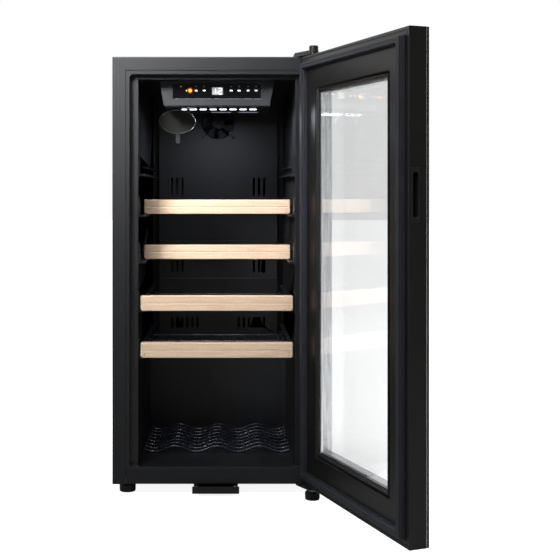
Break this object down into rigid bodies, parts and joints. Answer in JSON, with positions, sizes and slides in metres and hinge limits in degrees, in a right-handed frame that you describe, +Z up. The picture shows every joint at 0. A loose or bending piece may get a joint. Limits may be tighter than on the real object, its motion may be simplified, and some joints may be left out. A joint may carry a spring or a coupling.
{
  "type": "wine cooler",
  "caption": "Compact upright wine cooler with an open glass door hung on the right, wood-fronted wire shelves, a control housing and a fan inside, on short feet.",
  "frame": {"origin": "bottom centre of the whole object as it rests, on the floor plane, with the door open", "axes": "+X to the right as seen from the front, +Y to the rear, +Z up"},
  "size_m": [0.5246, 0.8906, 0.8445],
  "materials": {
    "body_steel": "fine-texture powder coat, graphite grey",
    "galvanised_steel": "spangled zinc coat",
    "zinc_steel": "zinc plate",
    "liner_plastic": "vacuum-formed, satin",
    "black_plastic": "moulded, satin black",
    "grey_plastic": "moulded, satin mid grey",
    "white_plastic": "moulded",
    "foam": "rigid polyurethane foam",
    "beech": "clear-lacquered beech",
    "coated_wire": "black dip coat",
    "glass": "clear tempered",
    "display_gloss": "gloss black window",
    "light_diffuser": "frosted acrylic",
    "aluminium": "mill finish",
    "gasket": "soft PVC, matt",
    "black_rubber": "matt",
    "circuit_board": "green solder mask",
    "black_lacquer": "gloss black lacquer"
  },
  "bodies": {
    "cabinet": {"left_side_panel": "body_steel", "right_side_panel": "body_steel", "top_panel": "body_steel", "front_base_rail": "body_steel", "rear_panel": "galvanised_steel", "base_pan": "galvanised_steel", "tray_guide": "galvanised_steel", "compressor_mount": "galvanised_steel", "inner_liner": "liner_plastic", "duct_cover": "liner_plastic", "insulation_foam": "foam", "evaporator": "aluminium", "fan_frame": "black_plastic", "fan_guard": "coated_wire", "control_housing": "grey_plastic", "display_panel": "display_gloss", "control_board": "circuit_board", "light_lens": "light_diffuser", "led_board": "circuit_board", "temperature_probe": "white_plastic", "badge_plate": "black_plastic", "compressor": "black_lacquer", "evaporation_pan": "black_plastic", "condenser_coil": "black_lacquer", "mains_inlet": "black_plastic", "foot_rear_left": "black_rubber", "foot_rear_right": "black_rubber", "top_hinge_bracket": "zinc_steel", "top_hinge_cover": "black_plastic", "bottom_hinge_bracket": "zinc_steel", "bottom_rack": "coated_wire"},
    "door": {"door_frame": "black_plastic", "outer_glass": "glass", "inner_glass": "glass", "glass_spacer": "aluminium", "door_bead": "black_plastic", "door_gasket": "gasket", "handle_cup": "grey_plastic", "top_hinge_bush": "white_plastic", "bottom_hinge_bush": "white_plastic"},
    "shelf_1": {"shelf_1_front": "beech", "shelf_1_rack": "coated_wire"},
    "shelf_2": {"shelf_2_front": "beech", "shelf_2_rack": "coated_wire"},
    "shelf_3": {"shelf_3_front": "beech", "shelf_3_rack": "coated_wire"},
    "shelf_4": {"shelf_4_front": "beech", "shelf_4_rack": "coated_wire"},
    "drip_tray": {"drip_tray": "black_plastic"},
    "fan": {"fan_rotor": "black_plastic"},
    "front_left_foot": {"foot_front_left": "black_plastic"},
    "front_right_foot": {"foot_front_right": "black_plastic"}
  },
  "joints": [
    {"name": "door_swing", "type": "hinge", "parent": "cabinet", "child": "door", "pos_m": [0.11606, -0.08373, 0.4265], "axis": [0, 0, 1], "range_deg": [-110.1, 20]},
    {"name": "shelf_1_slide", "type": "slide", "parent": "cabinet", "child": "shelf_1", "axis": [0, -1, 0], "range_m": [0, 0.2]},
    {"name": "shelf_2_slide", "type": "slide", "parent": "cabinet", "child": "shelf_2", "axis": [0, -1, 0], "range_m": [0, 0.2]},
    {"name": "shelf_3_slide", "type": "slide", "parent": "cabinet", "child": "shelf_3", "axis": [0, -1, 0], "range_m": [-0.086, 0.114]},
    {"name": "shelf_4_slide", "type": "slide", "parent": "cabinet", "child": "shelf_4", "axis": [0, -1, 0], "range_m": [-0.086, 0.114]},
    {"name": "drip_tray_slide", "type": "slide", "parent": "cabinet", "child": "drip_tray", "axis": [0, -1, 0], "range_m": [0, 0.085]},
    {"name": "fan_spin", "type": "hinge", "parent": "cabinet", "child": "fan", "pos_m": [-0.06484, 0.36527, 0.731], "axis": [0, 1, 0], "continuous": true},
    {"name": "front_left_foot_turn", "type": "hinge", "parent": "cabinet", "child": "front_left_foot", "pos_m": [-0.23584, -0.02473, 0.01], "axis": [0, 0, 1], "continuous": true},
    {"name": "front_right_foot_turn", "type": "hinge", "parent": "cabinet", "child": "front_right_foot", "pos_m": [0.11366, -0.08123, 0.01], "axis": [0, 0, 1], "continuous": true}
  ]
}
